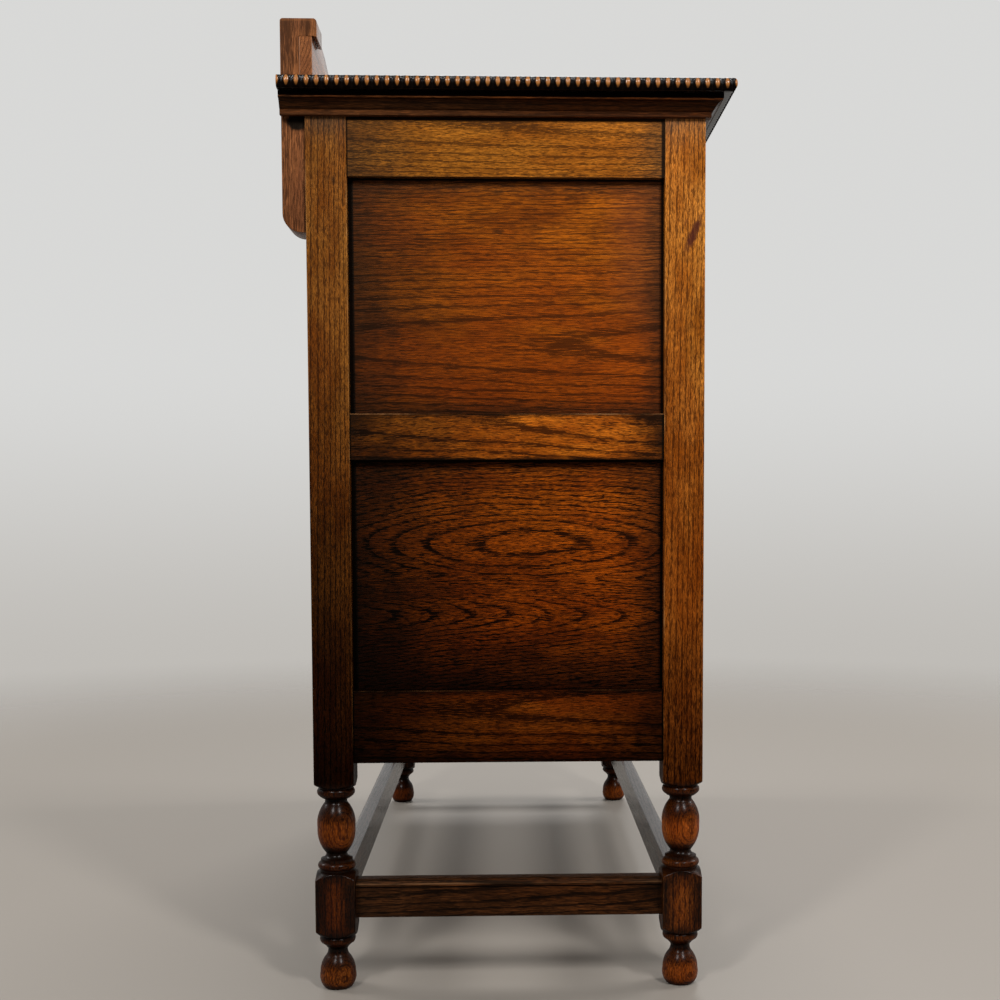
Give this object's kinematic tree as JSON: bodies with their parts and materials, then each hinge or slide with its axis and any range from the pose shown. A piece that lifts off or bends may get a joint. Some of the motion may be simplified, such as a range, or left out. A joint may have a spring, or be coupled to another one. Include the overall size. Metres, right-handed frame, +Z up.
{
  "type": "court cupboard",
  "caption": "Oak court cupboard on turned legs joined by stretchers, with drawers over panelled doors, a beaded top edge and a low gallery.",
  "frame": {"origin": "on the floor, under the centre of the top's outline", "axes": "+X along the length to the viewer's right when facing the front, -Y out of the front, +Z up"},
  "size_m": [1.141, 0.485, 1.07],
  "materials": {
    "frame_oak": "waxed dark oak, satin",
    "panel_oak": "waxed reddish oak, satin",
    "top_oak": "waxed dark oak, satin",
    "inner_wood": "plain unpolished wood",
    "aged_brass": "aged brass"
  },
  "bodies": {
    "carcass": {"front_left_post": "frame_oak", "rear_left_post": "frame_oak", "front_right_post": "frame_oak", "rear_right_post": "frame_oak", "left_top_rail": "frame_oak", "left_mid_rail": "frame_oak", "left_bottom_rail": "frame_oak", "right_top_rail": "frame_oak", "right_mid_rail": "frame_oak", "right_bottom_rail": "frame_oak", "left_upper_panel": "panel_oak", "left_lower_panel": "panel_oak", "right_upper_panel": "panel_oak", "right_lower_panel": "panel_oak", "left_stretcher": "frame_oak", "right_stretcher": "frame_oak", "front_stretcher": "frame_oak", "rear_stretcher": "frame_oak", "front_top_rail": "frame_oak", "drawer_rail": "frame_oak", "front_bottom_rail": "frame_oak", "drawer_divider": "frame_oak", "door_muntin": "frame_oak", "rear_rails": "inner_wood", "back_panel": "inner_wood", "bottom_board": "inner_wood", "shelf": "inner_wood", "drawer_runners": "inner_wood", "post_hinge_leaves": "aged_brass", "top_board": "top_oak", "front_edge_moulding": "top_oak", "side_edge_mouldings": "top_oak", "cornice_mouldings": "top_oak", "left_gallery_bracket": "frame_oak", "right_gallery_bracket": "frame_oak", "gallery_board": "frame_oak"},
    "left_drawer": {"left_drawer_front": "frame_oak", "left_drawer_sides": "inner_wood", "left_drawer_back": "inner_wood", "left_drawer_bottom": "inner_wood", "left_drawer_back_plate": "aged_brass"},
    "left_door": {"left_door_stiles": "frame_oak", "left_door_rails": "frame_oak", "left_door_panel": "panel_oak", "left_door_hinge_leaves": "aged_brass", "left_door_back_plate": "aged_brass"},
    "left_drawer_pull": {"left_drawer_drop": "aged_brass"},
    "left_door_pull": {"left_door_drop": "aged_brass"},
    "right_drawer": {"right_drawer_front": "frame_oak", "right_drawer_sides": "inner_wood", "right_drawer_back": "inner_wood", "right_drawer_bottom": "inner_wood", "right_drawer_back_plate": "aged_brass"},
    "right_door": {"right_door_stiles": "frame_oak", "right_door_rails": "frame_oak", "right_door_panel": "panel_oak", "right_door_hinge_leaves": "aged_brass", "right_door_back_plate": "aged_brass"},
    "right_drawer_pull": {"right_drawer_drop": "aged_brass"},
    "right_door_pull": {"right_door_drop": "aged_brass"}
  },
  "joints": [
    {"name": "left_drawer_slide", "type": "slide", "parent": "carcass", "child": "left_drawer", "axis": [0, -1, 0], "range_m": [0, 0.3]},
    {"name": "right_drawer_slide", "type": "slide", "parent": "carcass", "child": "right_drawer", "axis": [0, -1, 0], "range_m": [0, 0.3]},
    {"name": "left_door_hinge", "type": "hinge", "parent": "carcass", "child": "left_door", "pos_m": [-0.49625, -0.216, 0.57], "axis": [0, 0, -1], "range_deg": [0, 105]},
    {"name": "right_door_hinge", "type": "hinge", "parent": "carcass", "child": "right_door", "pos_m": [0.49625, -0.216, 0.57], "axis": [0, 0, 1], "range_deg": [0, 105]},
    {"name": "left_drawer_drop_swing", "type": "hinge", "parent": "left_drawer", "child": "left_drawer_pull", "pos_m": [-0.2585, -0.222, 0.886], "axis": [-1, 0, 0], "range_deg": [0, 100]},
    {"name": "left_door_drop_swing", "type": "hinge", "parent": "left_door", "child": "left_door_pull", "pos_m": [-0.0525, -0.222, 0.6], "axis": [-1, 0, 0], "range_deg": [0, 100]},
    {"name": "right_drawer_drop_swing", "type": "hinge", "parent": "right_drawer", "child": "right_drawer_pull", "pos_m": [0.2585, -0.222, 0.886], "axis": [-1, 0, 0], "range_deg": [0, 100]},
    {"name": "right_door_drop_swing", "type": "hinge", "parent": "right_door", "child": "right_door_pull", "pos_m": [0.0525, -0.222, 0.6], "axis": [-1, 0, 0], "range_deg": [0, 100]}
  ]
}
